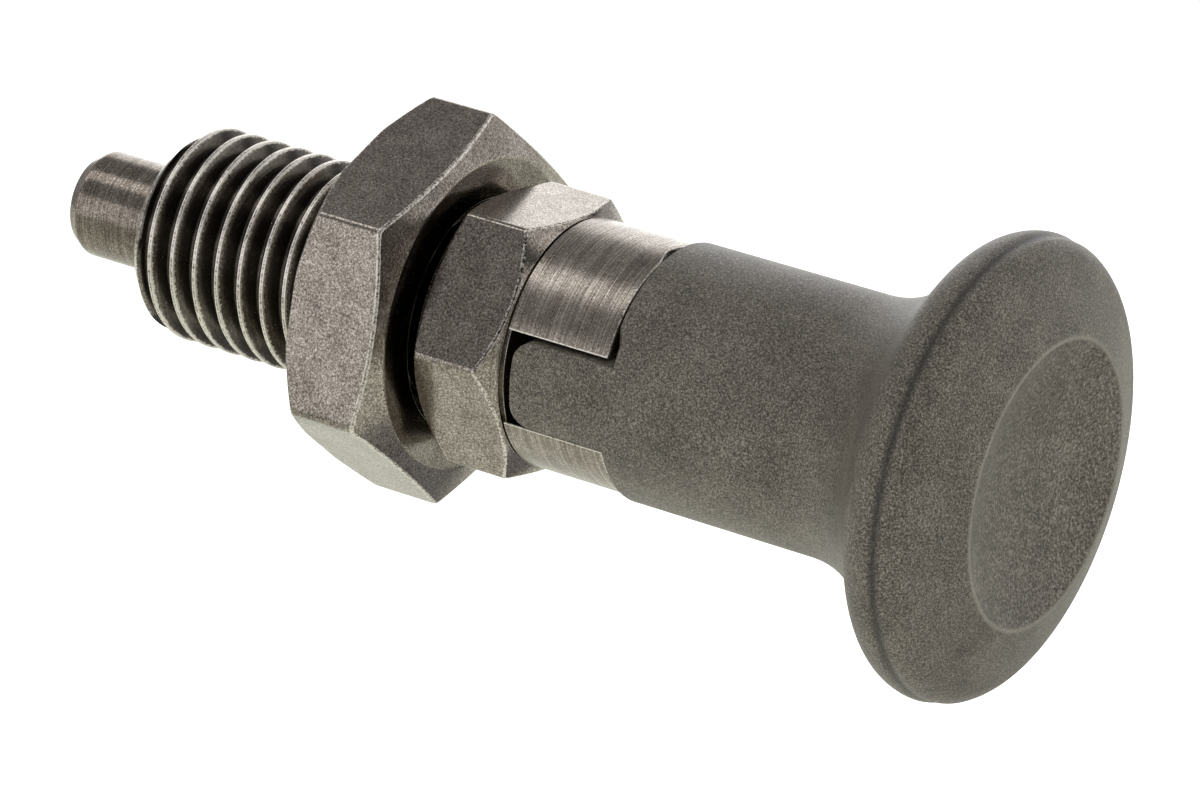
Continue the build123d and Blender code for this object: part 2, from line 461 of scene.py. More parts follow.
@dataclass(frozen=True)
class BlackOxideSteel:
    """Steel, machined and then blackened in a hot salt bath.

    The oxide is a thin dark skin, brown rather than black where light strikes it,
    that shows every tool mark under it. Grit makes it finely speckled, it lies a
    little unevenly, and it is rubbed through to bright steel along the edges. Real
    tool marks and grit are finer: they are drawn as coarse as they need to show.

    Attributes:
        dark, middle, pale: colours of the skin from its thickest to its thinnest.
        bright: bare steel, where the skin is rubbed through or chipped.
        painted_shade_colour: painted shade, the near black of thread roots and the nut's rear
            face.
        tones: levels of the noise at which the skin is dark, middle and pale.
        blotch_mm, blotch_share: size and strength of the uneven patches.
        grit_mm, chip_mm: size of the speckles, and of the chipped spots.
        line_mm, line_length_mm, line_share: the tool marks and how much they show.
        pressed_stretch: how scratches that run every way are drawn out.
        roughness, bare_roughness: of the skin and of bare steel.
        line_scatter: roughness that the tool marks add.
        gloss_tones, gloss_steps: noise levels and the roughness added at them.
        relief_mm, grit_strength: depth of the grit and how strongly it shades.
        line_relief_mm, line_strength: the same for the tool marks.
        edge_wear: how easily a worn edge is rubbed through.
        rubbed_levels, chipped_levels: where bare steel starts and is complete.
    """

    name: str
    cut: Cut
    dark: str = "#3e3732"
    middle: str = "#8f867d"
    pale: str = "#dbd4cb"
    bright: str = "#eae4dc"
    painted_shade_colour: str = "#2a2521"
    tones: tuple[float, float, float] = (0.44, 0.585, 0.75)
    blotch_mm: float = 1.8
    blotch_share: float = 0.16
    grit_mm: float = 0.11
    chip_mm: float = 0.143
    line_mm: float = 0.075
    line_length_mm: float = 6.0
    line_share: float = 0.45
    pressed_stretch: tuple[float, float, float] = (1.0, 0.55, 0.8)
    roughness: float = 0.13
    bare_roughness: float = 0.42
    line_scatter: float = 0.1
    gloss_tones: tuple[float, float] = (0.43, 0.93)
    gloss_steps: tuple[float, float] = (0.1, -0.06)
    relief_mm: float = 0.003
    grit_strength: float = 0.6
    line_relief_mm: float = 0.014
    line_strength: float = 0.8
    edge_wear: float = 0.48
    rubbed_levels: tuple[float, float] = (0.96, 1.1)
    chipped_levels: tuple[float, float] = (0.69, 0.74)

    def stretch(self) -> tuple[float, float, float]:
        """Scale of the tool marks along X, Y and Z: lines round the axis are long."""
        along = self.line_mm / self.line_length_mm
        return self.pressed_stretch if self.cut is Cut.PRESSED else (1.0, along, along)

    def build(self) -> bpy.types.Material:
        """Makes the material.

        The skin's tone is the grit, mixed with the tool marks where the surface is
        turned, plus a share of the blotches. Bare steel shows where the chips plus
        the worn edge's share pass a level, or where the chips alone do.

        Returns:
            The material with its nodes.
        """
        material = bpy.data.materials.new(self.name)
        tree = emptied(material)
        place = add_node(tree, "ShaderNodeTexCoord").outputs["Object"]
        drawn = add_node(
            tree, "ShaderNodeMapping", inputs={"Vector": place, "Scale": self.stretch()}
        ).outputs["Vector"]
        lines, blotch, grit, chips = (
            add_node(
                tree, "ShaderNodeTexNoise",
                inputs={"Vector": vector, "Scale": per_metre(size_mm), "Detail": detail,
                        "Roughness": coarseness},
            ).outputs["Fac"]
            for vector, size_mm, detail, coarseness in (
                (drawn, self.line_mm, 3.0, 0.65),
                (place, self.blotch_mm, 5.0, 0.6),
                (place, self.grit_mm, 4.0, 0.85),
                (place, self.chip_mm, 3.0, 0.7),
            )
        )
        turned, worn, sheltered = (
            add_node(tree, "ShaderNodeAttribute", {"attribute_name": name}).outputs["Fac"]
            for name in (TURNED, WORN_EDGE, PAINTED_SHADE)
        )

        share = add_node(
            tree, "ShaderNodeMath", {"operation": "MULTIPLY"}, {0: turned, 1: self.line_share}
        ).outputs[0]
        texture = add_node(
            tree, "ShaderNodeMix", {"data_type": "FLOAT"},
            {"Factor": share, "A": grit, "B": lines},
        ).outputs["Result"]
        tone = add_node(
            tree, "ShaderNodeMath", {"operation": "MULTIPLY_ADD"},
            {0: blotch, 1: self.blotch_share, 2: texture},
        ).outputs[0]
        skin = add_node(
            tree, "ShaderNodeValToRGB", inputs={"Fac": tone},
            stops=tuple(zip(self.tones, (self.dark, self.middle, self.pale))),
        ).outputs["Color"]

        rubbed = add_node(
            tree, "ShaderNodeMath", {"operation": "MULTIPLY_ADD"},
            {0: worn, 1: self.edge_wear, 2: chips},
        ).outputs[0]
        rubbed, chipped = (
            add_node(
                tree, "ShaderNodeMapRange",
                inputs={"Value": value, "From Min": levels[0], "From Max": levels[1]},
            ).outputs["Result"]
            for value, levels in ((rubbed, self.rubbed_levels), (chips, self.chipped_levels))
        )
        bare = add_node(
            tree, "ShaderNodeMath", {"operation": "MAXIMUM"}, {0: rubbed, 1: chipped}
        ).outputs[0]
        # Painted shade: the shade mark darkens the skin towards near black.
        shaded_skin = add_node(
            tree, "ShaderNodeMix", {"data_type": "RGBA"},
            {"Factor": sheltered, "A": skin, "B": linear(self.painted_shade_colour)},
        ).outputs["Result"]
        colour = add_node(
            tree, "ShaderNodeMix", {"data_type": "RGBA"},
            {"Factor": bare, "A": shaded_skin, "B": linear(self.bright)},
        ).outputs["Result"]

        gloss = add_node(
            tree, "ShaderNodeMapRange",
            inputs={"Value": tone, "From Min": self.gloss_tones[0],
                    "From Max": self.gloss_tones[1],
                    "To Min": self.roughness + self.gloss_steps[0],
                    "To Max": self.roughness + self.gloss_steps[1]},
        ).outputs["Result"]
        gloss = add_node(
            tree, "ShaderNodeMath", {"operation": "MULTIPLY_ADD"},
            {0: turned, 1: self.line_scatter, 2: gloss},
        ).outputs[0]
        gloss = add_node(
            tree, "ShaderNodeMix", {"data_type": "FLOAT"},
            {"Factor": bare, "A": gloss, "B": self.bare_roughness},
        ).outputs["Result"]

        grooves = add_node(
            tree, "ShaderNodeMath", {"operation": "MULTIPLY"}, {0: lines, 1: turned}
        ).outputs[0]
        ridged = add_node(
            tree, "ShaderNodeBump",
            inputs={"Height": grooves, "Strength": self.line_strength,
                    "Distance": self.line_relief_mm * MM},
        ).outputs["Normal"]
        gritty = add_node(
            tree, "ShaderNodeBump",
            inputs={"Height": grit, "Strength": self.grit_strength,
                    "Distance": self.relief_mm * MM, "Normal": ridged},
        ).outputs["Normal"]
        shader = add_node(
            tree, "ShaderNodeBsdfPrincipled",
            inputs={"Base Color": colour, "Metallic": 1.0, "Roughness": gloss,
                    "Normal": gritty},
        ).outputs["BSDF"]
        add_node(tree, "ShaderNodeOutputMaterial", inputs={"Surface": shader})
        return material


@dataclass(frozen=True)
class MouldedNylon:
    """Glass-filled nylon, moulded in a spark-eroded tool.

    It is charcoal, quite matt, and covered with the fine even grain of the erosion,
    which is coarser in the dish. The dish's edge is rubbed paler, partly as a
    painted highlight, and painted shade darkens the groove round the rim as far as
    the grain's pits.

    Attributes:
        dark, middle, pale: colours of the grain from its pits to its tops.
        tones: levels of the noise at which it is dark, middle and pale.
        grain_mm, dish_grain_mm: grain size outside and inside the dish.
        cloud_mm, cloud_share: size and strength of the uneven patches.
        roughness: of the whole surface.
        ior: refractive index of nylon.
        relief_mm, grain_strength: depth of the grain and how strongly it shades.
        rubbed_share: how far a worn edge turns pale, partly a painted highlight.
    """

    name: str
    dark: str = "#17130e"
    middle: str = "#564e44"
    pale: str = "#938c80"
    tones: tuple[float, float, float] = (0.42, 0.56, 0.7)
    grain_mm: float = 0.105
    dish_grain_mm: float = 0.15
    cloud_mm: float = 2.6
    cloud_share: float = 0.12
    roughness: float = 0.42
    ior: float = 1.53
    relief_mm: float = 0.08
    grain_strength: float = 0.55
    rubbed_share: float = 0.7

    def build(self) -> bpy.types.Material:
        """Makes the material.

        The tone is the fine grain, which the dish's mark turns to the coarse one,
        plus a share of the clouds.

        Returns:
            The material with its nodes.
        """
        material = bpy.data.materials.new(self.name)
        tree = emptied(material)
        place = add_node(tree, "ShaderNodeTexCoord").outputs["Object"]
        fine, coarse, cloud = (
            add_node(
                tree, "ShaderNodeTexNoise",
                inputs={"Vector": place, "Scale": per_metre(size_mm), "Detail": 4.0,
                        "Roughness": coarseness},
            ).outputs["Fac"]
            for size_mm, coarseness in (
                (self.grain_mm, 0.75), (self.dish_grain_mm, 0.75), (self.cloud_mm, 0.5)
            )
        )
        dish, groove, worn = (
            add_node(tree, "ShaderNodeAttribute", {"attribute_name": name}).outputs["Fac"]
            for name in (DISH_FLOOR, PAINTED_SHADE, WORN_EDGE)
        )
        grain = add_node(
            tree, "ShaderNodeMix", {"data_type": "FLOAT"},
            {"Factor": dish, "A": fine, "B": coarse},
        ).outputs["Result"]
        tone = add_node(
            tree, "ShaderNodeMath", {"operation": "MULTIPLY_ADD"},
            {0: cloud, 1: self.cloud_share, 2: grain},
        ).outputs[0]
        skin = add_node(
            tree, "ShaderNodeValToRGB", inputs={"Fac": tone},
            stops=tuple(zip(self.tones, (self.dark, self.middle, self.pale))),
        ).outputs["Color"]
        rubbed = add_node(
            tree, "ShaderNodeMath", {"operation": "MULTIPLY"}, {0: worn, 1: self.rubbed_share}
        ).outputs[0]
        # The dish's edge turns pale: rubbed wear and partly a painted highlight.
        colour = add_node(
            tree, "ShaderNodeMix", {"data_type": "RGBA"},
            {"Factor": rubbed, "A": skin, "B": linear(self.pale)},
        ).outputs["Result"]
        # Painted shade: the rim's groove is darkened to the grain's darkest colour.
        colour = add_node(
            tree, "ShaderNodeMix", {"data_type": "RGBA"},
            {"Factor": groove, "A": colour, "B": linear(self.dark)},
        ).outputs["Result"]
        grained = add_node(
            tree, "ShaderNodeBump",
            inputs={"Height": grain, "Strength": self.grain_strength,
                    "Distance": self.relief_mm * MM},
        ).outputs["Normal"]
        shader = add_node(
            tree, "ShaderNodeBsdfPrincipled",
            inputs={"Base Color": colour, "Roughness": self.roughness, "IOR": self.ior,
                    "Normal": grained},
        ).outputs["BSDF"]
        add_node(tree, "ShaderNodeOutputMaterial", inputs={"Surface": shader})
        return material


@dataclass(frozen=True)
class DrawnSpringWire:
    """Patented spring wire, drawn through a die: bright grey, clouded by a film of oil.

    Attributes:
        dark, pale: colours under the oil film and beside it.
        stain_mm: size of the film's clouds.
        roughness: of the drawn surface.
    """

    name: str
    dark: str = "#6b6c6e"
    pale: str = "#a5a6a8"
    stain_mm: float = 0.8
    roughness: float = 0.32

    def build(self) -> bpy.types.Material:
        """Makes the material.

        Returns:
            The material with its nodes.
        """
        material = bpy.data.materials.new(self.name)
        tree = emptied(material)
        place = add_node(tree, "ShaderNodeTexCoord").outputs["Object"]
        stain = add_node(
            tree, "ShaderNodeTexNoise",
            inputs={"Vector": place, "Scale": per_metre(self.stain_mm), "Detail": 4.0},
        ).outputs["Fac"]
        colour = add_node(
            tree, "ShaderNodeMix", {"data_type": "RGBA"},
            {"Factor": stain, "A": linear(self.dark), "B": linear(self.pale)},
        ).outputs["Result"]
        shader = add_node(
            tree, "ShaderNodeBsdfPrincipled",
            inputs={"Base Color": colour, "Metallic": 1.0, "Roughness": self.roughness},
        ).outputs["BSDF"]
        add_node(tree, "ShaderNodeOutputMaterial", inputs={"Surface": shader})
        return material


# ------------------------------------------------------------------------ parts
def dressed(
    name: str,
    surface: Surface,
    finish: BlackOxideSteel | DrawnSpringWire | MouldedNylon,
    **making: float,
) -> bpy.types.Object:
    """Makes a piece's object and gives it its finish.

    Args:
        name: name of the object.
        surface: its surface in millimetres.
        finish: what it is made of.
        **making: the weld and crease that make_object takes, where they differ.

    Returns:
        The object.
    """
    made = make_object(name, surface, **making)
    made.data.materials.append(finish.build())
    return made


@dataclass
class ThreadedBody:
    """Turned steel body: thread, relief groove, hexagon and slotted collar.

    Attributes:
        crest_at, crest_angle: a point of the thread's crest line.
        turns_ahead, spare_turns: turns worked out ahead of that point, and turns more
            than fit the thread's length; what lies past its ends is cut off.
        flank_angle: half of the thread's angle.
        thread_lines, chamfer_lines: how much the tool marks show there.
        lead_wear: wear on the thread's lead chamfer.
        front_circle, front_angle: chamfer of the hexagon's front face.
        rear_slope: length of the rear chamfer for each millimetre that it takes off.
        least_chamfer: what is broken off an edge where the chamfer doesn't reach.
        worn_from: how far over the chamfers' circles a corner starts to be worn.
        groove_depth: depth of the groove between hexagon and collar.
        slot_corner, slot_corner_wear: how far from the slot's edge in the collar its
            rounding begins, and the wear on it.
        end_round: rounding of the collar's end.
        rim_steps, chord_steps: points along a crown segment's arc and its chord.
        nick_start, nick_angle, nick_half_width, nick_depth: the shallow nick in the
            collar's end: where it starts along X, its middle, its half angle, its depth.
        nick_band: how far in from the rim it reaches.
    """

    finish: BlackOxideSteel
    thread_start: float = -20.2
    thread_end: float = -2.0
    major_radius: float = 5.95
    root_radius: float = 5.08
    chamfer_radius: float = 4.8
    pitch: float = 1.5
    crest_width: float = 0.22
    crest_at: float = -18.39
    crest_angle: float = 163.1
    turns_ahead: int = 3
    spare_turns: int = 4
    flank_angle: float = 30.0
    thread_lines: float = 0.5
    lead_wear: float = 1.1
    bore_radius: float = 3.02
    bore_end: float = 3.0
    bore_mouth: float = 0.3
    shank_hole_radius: float = 1.85
    hexagon: HexagonOutline = HexagonOutline(across_flats=14.0, turn=-3.0)
    hexagon_length: float = 5.3
    front_circle: float = 6.85
    front_angle: float = 30.0
    rear_slope: float = 0.72
    least_chamfer: float = 0.05
    worn_from: float = 0.1
    chamfer_lines: float = 0.25
    collar_radius: float = 6.85
    collar_end: float = 11.6
    groove_depth: float = 0.25
    slot_floor: float = 5.45
    slot_half_width: float = 2.6
    slot_corner: float = 0.12
    slot_corner_wear: float = 1.3
    end_round: float = 0.1
    rim_steps: int = 47
    chord_steps: int = 12
    nick_start: float = 8.0
    nick_angle: float = 92.0
    nick_half_width: float = 15.0
    nick_depth: float = 0.42
    nick_band: float = 0.2

    def thread_section(self) -> Array:
        """One pitch of the thread's section.

        The crest is flat, its edges are a little rounded, and the flank falls to a
        rounded root: at an offset o past the crest's edge the drop is o / tan A.

        Returns:
            A row for each point: offset along X from the crest line, drop below the
            crest, wear and painted shade.
        """
        half = self.crest_width / 2
        depth = self.major_radius - self.root_radius
        flank = depth * np.tan(np.radians(self.flank_angle))
        # Each row: offset from the crest line, drop below the crest, wear, and painted shade that
        # darkens the flanks and roots.
        one_side = np.array([
            (0.0, 0.0, 1.0, 0.0),
            (half * 0.7, 0.0, 1.35, 0.0),
            (half, 0.012, 1.8, 0.0),
            (half + 0.03, 0.06, 1.3, 0.4),
            (half + flank * 0.35, depth * 0.35, 0.0, 0.7),
            (half + flank * 0.7, depth * 0.7, 0.0, 0.76),
            (half + flank * 0.88, depth * 0.87, 0.0, 0.82),
            (half + flank * 0.97, depth * 0.955, 0.0, 0.84),
            (half + flank + 0.03, depth * 0.99, 0.0, 0.84),
            (self.pitch / 2, depth, 0.0, 0.84),
        ])
        other_side = one_side[:0:-1] * (-1, 1, 1, 1)
        return np.concatenate([other_side, one_side[:-1]])

    def thread(self, angles: Array) -> Surface:
        """The helical thread between its lead chamfer and the relief groove.

        The section is repeated along X, and its places move on by one pitch in each
        turn: x + pitch * angle / 360. The radius is the major radius less the
        section's drop, and never more than the 45 degree cones at the two ends allow.

        Args:
            angles: angles of the columns, once round.

        Returns:
            The surface, whose end rings lie at the thread's two ends.
        """
        section = self.thread_section()
        length = self.thread_end - self.thread_start
        turns = int(np.ceil(length / self.pitch)) + self.spare_turns
        offset, drop, wear, root_shade = np.tile(section, (turns, 1)).T[:, :, None]
        offset = offset + self.pitch * np.repeat(np.arange(turns), len(section))[:, None]
        travel = self.pitch * (angles - np.radians(self.crest_angle)) / (2 * np.pi)
        x = self.crest_at - self.turns_ahead * self.pitch + offset + travel[None, :]
        lead_cone = self.chamfer_radius + (x - self.thread_start)
        rear_cone = self.root_radius + (self.thread_end - x)
        allowed = np.minimum(lead_cone, rear_cone)
        radius = self.major_radius - drop
        on_lead = (lead_cone < radius) & (x > self.thread_start)
        worn = np.maximum(wear * (radius <= allowed), self.lead_wear * on_lead)
        within = (x > self.thread_start) & (x < self.thread_end)
        # Painted shade darkens the flanks and roots, but not the lead chamfer.
        hidden = root_shade * (within & ~on_lead)
        ends = np.where(x < self.thread_start, self.chamfer_radius, self.root_radius)
        beyond = (x < self.thread_start) | (x > self.thread_end)
        radius = np.where(beyond, ends, np.minimum(radius, allowed))
        x = np.clip(x, self.thread_start, self.thread_end)
        marks = {WORN_EDGE: worn, TURNED: np.array(self.thread_lines), PAINTED_SHADE: hidden}
        places = on_axis(x, radius, angles[None, :])
        return grid_surface(places, marks, wrap_columns=True, column_shift=len(section))

    def core(self) -> tuple[Surface, Array]:
        """Everything turned from the thread's front face through the bore to the groove.

        The profile runs up the front face, in through the bore, out again over the
        slot's floor, round the collar's groove and over the hexagon. Where it passes
        the hexagon its radius is that of the outline at each angle.

        Returns:
            The surface and the angles of its columns.
        """
        angle, reach, corner_wear = self.hexagon.trace()
        front = np.minimum(reach - self.least_chamfer, self.front_circle)
        rear = np.minimum(reach - self.least_chamfer, self.collar_radius)
        front_cut = (reach - front) * np.tan(np.radians(self.front_angle))
        rear_cut = (reach - rear) * self.rear_slope
        groove = self.collar_radius - self.groove_depth
        mouth = self.bore_radius + self.bore_mouth
        stations = (
            Station(self.thread_start, self.chamfer_radius),
            Station(self.thread_start, mouth, 0.05, 0.6),
            Station(self.thread_start + self.bore_mouth, self.bore_radius, 0.05, 0.3),
            Station(self.bore_end, self.bore_radius),
            Station(self.bore_end, self.shank_hole_radius),
            Station(self.slot_floor, self.shank_hole_radius, 0.05, 0.4),
            Station(self.slot_floor, groove, 0.04, 0.7),
            Station(self.hexagon_length, groove),
            Station(self.hexagon_length, rear, 0.04, 0.7),
            Station(
                self.hexagon_length - np.maximum(rear_cut, self.least_chamfer), reach, 0.1, 1.1
            ),
            Station(np.maximum(front_cut, self.least_chamfer), reach, 0.08, 0.9),
            Station(0.0, front, 0.06, 0.6),
            Station(0.0, self.root_radius),
            Station(self.thread_end, self.root_radius),
        )
        profile, wear = rounded_stations(stations, fade=0.18)
        x, radius = profile[..., 0], profile[..., 1]
        on_hexagon = radius > np.minimum(front, rear)[:, None] + self.worn_from
        worn = np.maximum(wear, CORNER_SHARE * corner_wear[:, None] * on_hexagon)
        behind = x > self.hexagon_length - CLEAR
        off_flats = radius < reach[:, None] - CLEAR
        turned = np.where(behind, 1.0, self.chamfer_lines) * off_flats
        places = on_axis(x, radius, angle[:, None]).transpose(1, 0, 2)
        marks = {WORN_EDGE: worn.T, TURNED: turned.T}
        return grid_surface(places, marks, wrap_columns=True), angle

    def crown_outline(self) -> tuple[Array, Array]:
        """One crown segment seen along X: the collar's arc and the slot's chord.

        Returns:
            The (y, z) points of the segment towards +Z, once round, with its corners
            rounded, and their wear.
        """
        half = np.arccos(self.slot_half_width / self.collar_radius)
        sweep = np.linspace(np.pi / 2 - half, np.pi / 2 + half, self.rim_steps + 2)
        circle = self.collar_radius * np.stack([np.cos(sweep), np.sin(sweep)], axis=-1)
        first, last = circle[-1], circle[0]
        chord = line(first, last, np.linspace(0, 1, self.chord_steps + 2)[1:-1])
        corners = np.concatenate([circle[1:-1], first[None], chord, last[None]])
        setback = np.zeros(len(corners))
        setback[[self.rim_steps, -1]] = self.slot_corner
        worn = np.where(setback > 0, self.slot_corner_wear, 0.0)
        return rounded(corners, setback, worn, fade=0.17, closed=True)

    def nick(self, outline: Array, side: int) -> Array:
        """How deep the nick in the collar's end is at each point of an outline.

        It is half a cosine wave from its middle to its half width, on the rim alone.

        Args:
            outline: the segment's (y, z) points.
            side: 1 for the segment towards +Z, -1 for the other.

        Returns:
            One depth along X for each point.
        """
        turn = np.degrees(np.arctan2(outline[:, 1], side * outline[:, 0]))
        on_rim = np.linalg.norm(outline, axis=-1) > self.collar_radius - self.nick_band
        near = np.clip(1 - np.abs(turn - self.nick_angle) / self.nick_half_width, 0, 1) * on_rim
        return self.nick_depth * (1 - np.cos(np.pi * near)) / 2

    def crown(self, side: int) -> Surface:
        """One of the two crown segments that the slot leaves of the collar.

        Its outline is carried along X and drawn in over the last steps, where the
        end's edge is broken. The nick pushes the end back, in proportion to how far a
        ring lies behind the nick's start. Each end is closed towards its middle by
        rings that hold a share s of the outline, on which the nick fades as s^4.

        Args:
            side: 1 for the segment towards +Z, -1 for the other.

        Returns:
            The closed surface.
        """
        outline, worn = self.crown_outline()
        ahead, behind = np.roll(outline, -1, axis=0), np.roll(outline, 1, axis=0)
        tangent = (ahead - behind) / np.linalg.norm(ahead - behind, axis=-1, keepdims=True)
        outward = np.stack([tangent[:, 1], -tangent[:, 0]], axis=-1)
        edge = self.end_round
        # Each ring: its x, how far it is drawn in, and its wear.
        x, inset, wear = np.array([
            (self.slot_floor - CLEAR, 0.0, 0.3),
            (self.slot_floor + 0.15, 0.0, 0.0),
            (self.nick_start, 0.0, 0.0),
            (self.collar_end - 3 * edge, 0.0, 0.0),
            (self.collar_end - edge, 0.0, 0.9),
            (self.collar_end - 0.45 * edge, 0.12 * edge, 1.3),
            (self.collar_end - 0.12 * edge, 0.45 * edge, 1.3),
            (self.collar_end, edge, 1.1),
        ]).T
        rings = outline[None] - outward[None] * inset[:, None, None]
        pushed = np.clip((x - self.nick_start) / (x[3] - self.nick_start), 0, 1)
        ring_x = x[:, None] - pushed[:, None] * self.nick(outline, side)[None, :]
        walls = np.stack([ring_x, rings[..., 0], side * rings[..., 1]], axis=-1)
        marks = {WORN_EDGE: np.maximum(worn, wear[:, None]), TURNED: np.array(1.0)}
        surfaces = [grid_surface(walls, marks, wrap_columns=True)]

        middle = np.array([0.0, (self.slot_half_width + self.collar_radius) / 2])
        # Each ring of an end face: its share of the outline, and its wear.
        share, wear = np.array([(1.0, 0.85), (0.75, 0.0), (0.0, 0.0)]).T[:, :, None]
        for place, ring in ((ring_x[0], outline), (ring_x[-1], rings[-1])):
            cap = middle + (ring[None] - middle) * share[..., None]
            cap_x = place.max() + (place[None] - place.max()) * share**4
            lid = np.stack([cap_x, cap[..., 0], side * cap[..., 1]], axis=-1)
            surfaces.append(grid_surface(lid, {WORN_EDGE: wear}, wrap_columns=True))
        return joined(surfaces)

    def build(self) -> bpy.types.Object:
        """Makes the body, dresses it and ties it to its solid.

        Returns:
            The object.
        """
        core, angles = self.core()
        whole = joined([core, self.thread(angles), self.crown(1), self.crown(-1)])
        made = dressed("turned_body", whole, self.finish)
        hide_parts("threaded_body")
        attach(made, "body")
        return made


@dataclass
class Locknut:
    """Thin hexagon nut, chamfered on both faces.

    Attributes:
        front, rear: the x of its two faces.
        rear_circle, rear_angle: circle and slope of the rear face's chamfer.
        front_circle, front_angle: the same of the front face.
        least_inset, least_chamfer: what is broken off where a chamfer doesn't reach.
        mouth: chamfer of the hole.
        rear_shade: how much painted shade darkens the rear face, which faces the body.
    """

    finish: BlackOxideSteel
    hexagon: HexagonOutline = HexagonOutline(
        across_flats=19.0, turn=20.9, corner_setback=0.3, flat_steps=25
    )
    front: float = -6.45
    rear: float = -0.75
    rear_circle: float = 8.65
    rear_angle: float = 20.0
    front_circle: float = 9.6
    front_angle: float = 35.0
    least_inset: float = 0.07
    least_chamfer: float = 0.06
    bore_radius: float = 6.05
    mouth: float = 0.45
    rear_shade: float = 0.4

    def chamfer(self, reach: Array, circle: float, angle: float) -> tuple[Array, Array]:
        """A cone that starts at its face circle, so it bites deepest into the corners.

        Args:
            reach: distance of the outline from the axis at each column.
            circle: radius of the face circle.
            angle: the cone's slope from the face.

        Returns:
            The face's radius and the chamfer's length along X at each column.
        """
        face = np.minimum(reach - self.least_inset, circle)
        length = (reach - face) * np.tan(np.radians(angle))
        return face, np.maximum(length, self.least_chamfer)

    def build(self) -> bpy.types.Object:
        """Makes the nut, dresses it and ties it to its solid.

        The profile is a closed loop: out over the front face, along the flat, in over
        the rear face and back through the hole.

        Returns:
            The object.
        """
        angle, reach, corner_wear = self.hexagon.trace()
        rear_face, rear_cut = self.chamfer(reach, self.rear_circle, self.rear_angle)
        front_face, front_cut = self.chamfer(reach, self.front_circle, self.front_angle)
        mouth = self.bore_radius + self.mouth
        stations = (
            Station(self.front + self.mouth, self.bore_radius, 0.06, 0.4),
            Station(self.front, mouth, 0.06, 0.6),
            Station(self.front, front_face, 0.09, 0.7),
            Station(self.front + front_cut, reach, 0.12, 0.9),
            Station(self.rear - rear_cut, reach, 0.14, 1.15),
            Station(self.rear, rear_face, 0.09, 0.6),
            Station(self.rear, mouth, 0.06, 0.6),
            Station(self.rear - self.mouth, self.bore_radius, 0.06, 0.4),
        )
        profile, wear = rounded_stations(stations, fade=0.22, closed=True)
        x, radius = profile[..., 0], profile[..., 1]
        on_flat = radius > rear_face[:, None] + CLEAR
        worn = np.maximum(wear, CORNER_SHARE * corner_wear[:, None] * on_flat)
        # Painted shade on the rear face inside its face circle, next to the body's hexagon.
        on_rear_face = (x > self.rear - CLEAR) & (radius < rear_face[:, None] - 2 * CLEAR)
        places = on_axis(x, radius, angle[:, None]).transpose(1, 0, 2)
        marks = {WORN_EDGE: worn.T, PAINTED_SHADE: self.rear_shade * on_rear_face.T}
        surface = grid_surface(places, marks, wrap_rows=True, wrap_columns=True)
        made = dressed("chamfered_locknut", surface, self.finish)
        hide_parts("locknut")
        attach(made, "locknut")
        return made


@dataclass
class LockingPin:
    """Ground steel pin with a tapered tip and a thinner shank behind it."""

    finish: BlackOxideSteel
    tip: float = -26.4
    radius: float = 3.0
    taper_length: float = 0.75
    taper_depth: float = 0.45
    shoulder: float = -10.5
    shank_radius: float = 1.8
    shank_end: float = 26.0
    shank_chamfer: float = 0.3
    columns: int = 128

    def build(self) -> bpy.types.Object:
        """Makes the pin, dresses it and ties it to its solid.

        The profile runs from the middle of the tip over the taper, the pin and the
        shank to the middle of the shank's end, and is carried round the axis.

        Returns:
            The object.
        """
        stations = (
            Station(self.tip, 0.0),
            Station(self.tip, self.radius - self.taper_depth, 0.1, 0.5),
            Station(self.tip + self.taper_length, self.radius, 0.12, 0.45),
            Station(self.shoulder, self.radius, 0.05, 0.3),
            Station(self.shoulder, self.shank_radius),
            Station(self.shank_end - self.shank_chamfer, self.shank_radius),
            Station(self.shank_end, self.shank_radius - self.shank_chamfer),
            Station(self.shank_end, 0.0),
        )
        profile, wear = rounded_stations(stations, fade=0.3)
        angles = np.linspace(0, 2 * np.pi, self.columns, endpoint=False)
        places = on_axis(profile[:, None, 0], profile[:, None, 1], angles[None, :])
        marks = {WORN_EDGE: wear[:, None], TURNED: np.array(1.0)}
        surface = grid_surface(places, marks, wrap_columns=True)
        made = dressed("ground_locking_pin", surface, self.finish)
        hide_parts("plunger_pin")
        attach(made, "plunger")
        return made


